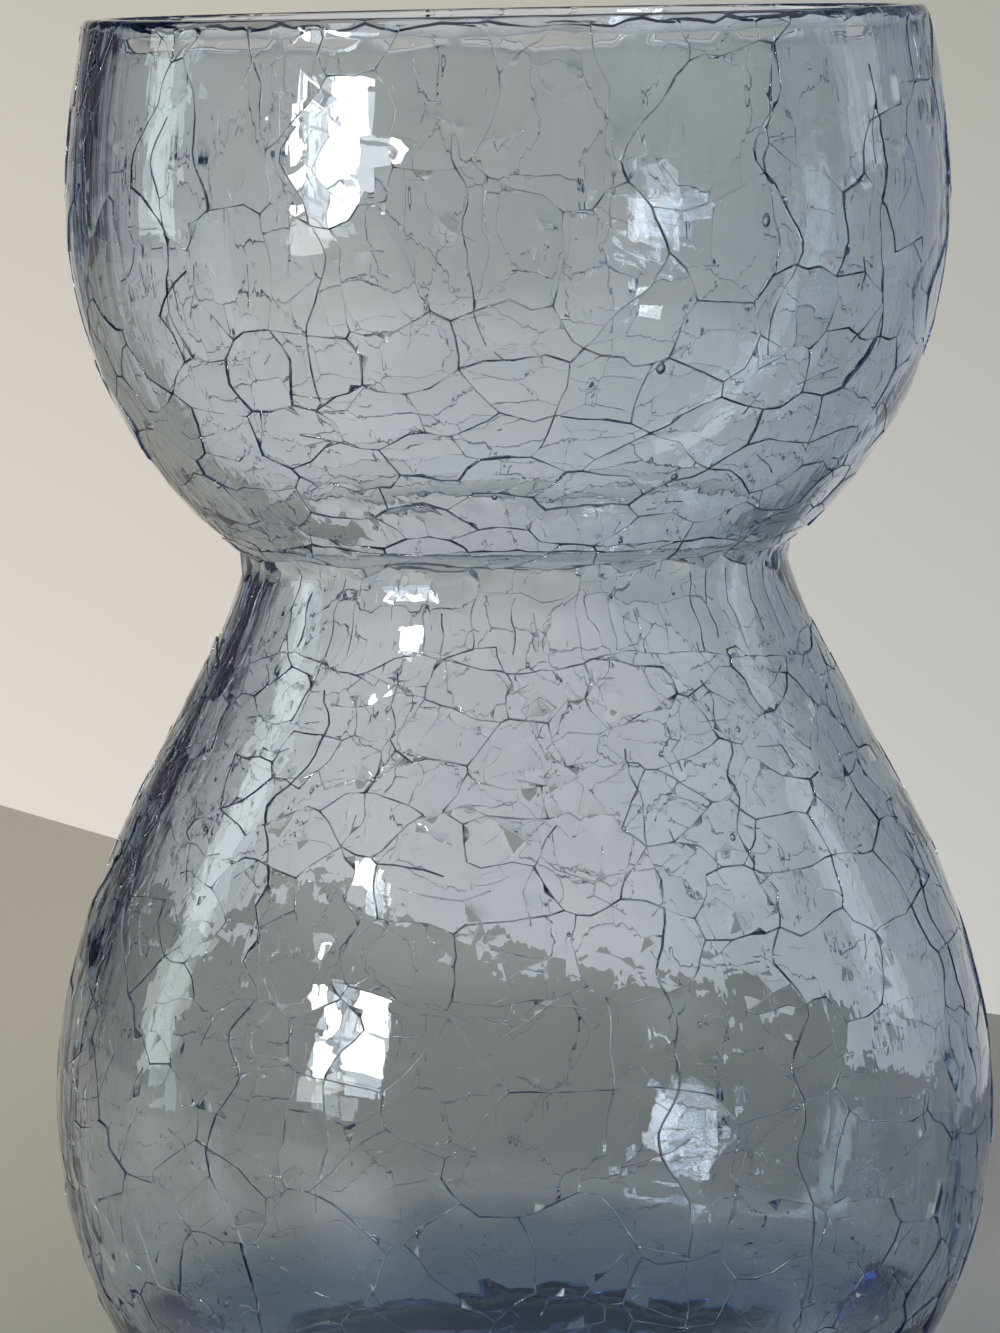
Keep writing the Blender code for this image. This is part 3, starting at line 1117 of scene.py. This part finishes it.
def facet_normal(glass, place, normal, crack):
    """Tilts the outside in small flat facets, each its own way, and more inside the cracks."""
    flat = glass.rise(glass.attribute("skin"), 0.0, 1.0, (0.0, 2 * tan(FACET_TILT)))
    rough = glass.rise(crack, *ROUGH_CRACK, (0.0, 2 * tan(CRACK_TILT)))
    for size, squash, amount in ((FACET_SIZE, FACET_SQUASH, flat), (CRACK_GRAIN, 1.0, rough)):
        normal = glass.vector("ADD", normal, glass.random_lean(place, size, squash, amount))
    return glass.vector("NORMALIZE", normal)


def crackle_glass_material():
    """Clear glass with its colour in its volume, and waves drawn out along its height.

    A crack's faces scatter the light. Shade painted into their base colour makes them look dark
    from outside, and less so from within.
    """
    material = bpy.data.materials.new("crackle_glass")
    glass = Nodes(material)
    place = glass.add("TexCoord").outputs["Object"]
    crack = glass.attribute("crack")
    # Painted shade in the cracks' base colour, weaker on the far side seen from within.
    within = glass.add("NewGeometry").outputs["Backfacing"]
    share = glass.rise(within, 0.0, 1.0, (1.0, FAR_CRACK), "LINEAR")
    dark = glass.math("MULTIPLY", glass.rise(crack, *DARK_CRACK), share)
    drawn_out = glass.add("Mapping", {"Vector": place, "Scale": (1.0, 1.0, WAVE_STRETCH)})
    inputs = {"Vector": drawn_out.outputs["Vector"], "Scale": WAVES_PER_METRE, "Detail": 2.0}
    waves = glass.add("TexNoise", inputs).outputs["Fac"]
    facing = glass.add("LayerWeight", {"Blend": 0.5}).outputs["Facing"]
    size = glass.rise(facing, *WAVE_FACING, (DRAWN_WAVES, DRAWN_WAVES_AT_EDGE))
    bump = glass.add("Bump", {"Strength": 1.0, "Distance": size, "Height": waves})
    shader = glass.nodes["Principled BSDF"]
    looks = {
        "Base Color": glass.mix(dark, CLEAR_COLOR, CRACK_SHADE_COLOR),
        "Roughness": 0.0,
        "IOR": 1.5,
        "Transmission Weight": 1.0,
        "Normal": facet_normal(glass, place, bump.outputs["Normal"], crack),
        "Specular IOR Level": glass.rise(glass.attribute("floor"), 0.0, 1.0, MIRROR_ON_FLOOR),
    }
    for name, value in looks.items():
        glass.feed(shader.inputs[name], value)
    tint = glass.add("VolumeAbsorption", {"Color": GLASS_TINT, "Density": GLASS_DENSITY})
    glass.feed(glass.nodes["Material Output"].inputs["Volume"], tint.outputs["Volume"])
    return material


def photo_camera():
    """The photograph's viewpoint, in the frame of a 1000 by 1333 picture."""
    pitch, roll, yaw = (radians(a) for a in CAMERA_PITCH_ROLL_YAW)
    forward = Vector((sin(yaw) * cos(pitch), cos(yaw) * cos(pitch),
                      -sin(pitch)))
    level = forward.cross(Vector((0, 0, 1))).normalized()
    upright = level.cross(forward)
    right = level * cos(roll) + upright * sin(roll)
    up = upright * cos(roll) - level * sin(roll)
    data = bpy.data.cameras.new("photo_camera")
    data.sensor_fit = "AUTO"
    data.sensor_width = 36.0
    data.lens = data.sensor_width * FOCAL_PIXELS / FRAME_HEIGHT
    data.clip_start = 0.01
    camera = place_object("photo_camera", data)
    camera.matrix_world = Matrix((right, up, -forward)).transposed().to_4x4()
    camera.location = (0.0, -CAMERA_DISTANCE, CAMERA_HEIGHT)
    bpy.context.scene.camera = camera


def table_paint():
    """Pale paint, with shade painted away from the window and dark blue shade painted under the
    foot.
    """
    material = bpy.data.materials.new("table_paint")
    top = Nodes(material)
    place = top.add("TexCoord").outputs["Object"]
    # Painted shade: the paint darkens away from the window, and turns dark blue under the foot.
    across = top.vector("DOT_PRODUCT", place, SHADE_ACROSS, output="Value")
    paint = top.mix(top.rise(across, *SHADE_SPAN), TABLE_LIT, TABLE_SHADED)
    reach = top.vector("LENGTH", place, output="Value")
    shader = top.nodes["Principled BSDF"]
    top.feed(shader.inputs["Base Color"], top.mix(top.rise(reach, *BLUE_SPAN), BLUE_LIGHT, paint))
    shader.inputs["Roughness"].default_value = TABLE_ROUGHNESS
    return material


def table(material):
    """A pale table top that ends behind the vase, on a line that runs away to the left."""
    edge = [Vector(p) for p in TABLE_BACK_EDGE]
    left_back = edge[0] + (edge[0] - edge[1]).normalized() * 0.9
    right_back = edge[2] + (edge[2] - edge[1]).normalized() * 0.8
    outline = [(TABLE_LEFT, TABLE_FRONT), (right_back.x, TABLE_FRONT), right_back, *reversed(edge),
               left_back, (TABLE_LEFT, left_back.y)]
    n = len(outline)
    points = [(x, y, z) for z in (0.0, -TABLE_THICKNESS) for x, y in outline]
    faces = [tuple(range(n)), tuple(range(2 * n - 1, n - 1, -1))]
    faces += [(i, i + n, (i + 1) % n + n, (i + 1) % n) for i in range(n)]
    mesh = bpy.data.meshes.new("table_top")
    mesh.from_pydata(points, [], faces)
    mesh.materials.append(material)
    place_object("table_top", mesh)


def softbox(name, azimuth, elevation, distance, radiance, color):
    """A light pane that faces the vase: azimuths and elevations as seen from the vase's middle.

    Azimuth 0 is the camera's side, and + is to its right.
    """
    turn = radians(sum(azimuth) / 2 - 90)
    low, high = (distance * tan(radians(e)) for e in elevation)
    width = 2 * distance * tan(radians(azimuth[1] - azimuth[0]) / 2)
    data = bpy.data.lights.new(name, "AREA")
    data.shape = "RECTANGLE"
    data.size, data.size_y = width, high - low
    data.energy = radiance * pi * width * (high - low)
    data.color = color
    lamp = place_object(name, data)
    lamp.location = spot_round(turn, distance, LIGHT_CENTRE + (low + high) / 2)
    toward = Vector((-lamp.location.x, -lamp.location.y, 0.0))
    lamp.rotation_euler = toward.to_track_quat("-Z", "Y").to_euler()
    lamp.visible_camera = False


def light_the_studio():
    """A near window of panes at the left with a dim sill, and dim soft boxes at both sides."""
    for row, elevation in enumerate(WINDOW_ROWS):
        for name, azimuth, radiance, color in WINDOW_PANES:
            softbox(f"window_{name}_{row}", azimuth, elevation, WINDOW_DISTANCE, radiance, color)
    for lamp in OTHER_LAMPS:
        softbox(*lamp)


def studio_world():
    """A pale backdrop behind the vase, and darker surroundings that draw the glass's edges."""
    world = bpy.data.worlds.new("studio")
    bpy.context.scene.world = world
    room = Nodes(world)
    room.nodes.clear()
    split = room.add("SeparateXYZ", {0: room.add("TexCoord").outputs["Generated"]})
    x, y, z = (split.outputs[k] for k in "XYZ")
    ramp = room.add("ValToRGB", {"Fac": room.rise(z, *WALL_SPAN, curve="LINEAR")})
    stops = ramp.color_ramp.elements
    for stop, (position, color) in zip(stops, (WALL_STOPS[0], WALL_STOPS[-1])):
        stop.position, stop.color = position, (*color, 1.0)
    for position, color in WALL_STOPS[1:-1]:
        stops.new(position).color = (*color, 1.0)
    shade = room.mix(room.rise(x, *WALL_SHADE_SPAN), (1.0, 1.0, 1.0), WALL_SHADE)
    wall = room.mix(1.0, ramp.outputs["Color"], shade, "MULTIPLY")
    around = room.mix(room.rise(z, *CEILING_SPAN), ROOM_COLOR, CEILING_COLOR)
    turn = room.math("ARCTAN2", x, y)
    color = around
    parts = (LEFT_COLOR, wall, RIGHT_COLOR, around)
    for (low, high), following in zip(ROOM_BORDERS, parts):
        border = room.rise(turn, radians(low), radians(high))
        color = room.mix(border, color, following)
    background = room.add("Background", {"Color": color})
    room.add("OutputWorld", {"Surface": background.outputs[0]})


photo_camera()
table(table_paint())
light_the_studio()
studio_world()
glass = glass_object(crackle_glass_material())
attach(glass, "root")
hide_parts("glass_vessel", "foot_pad")
scene = bpy.context.scene
scene.view_settings.view_transform = "Standard"
scene.cycles.max_bounces = 32
scene.cycles.transmission_bounces = 32
scene.cycles.glossy_bounces = 16
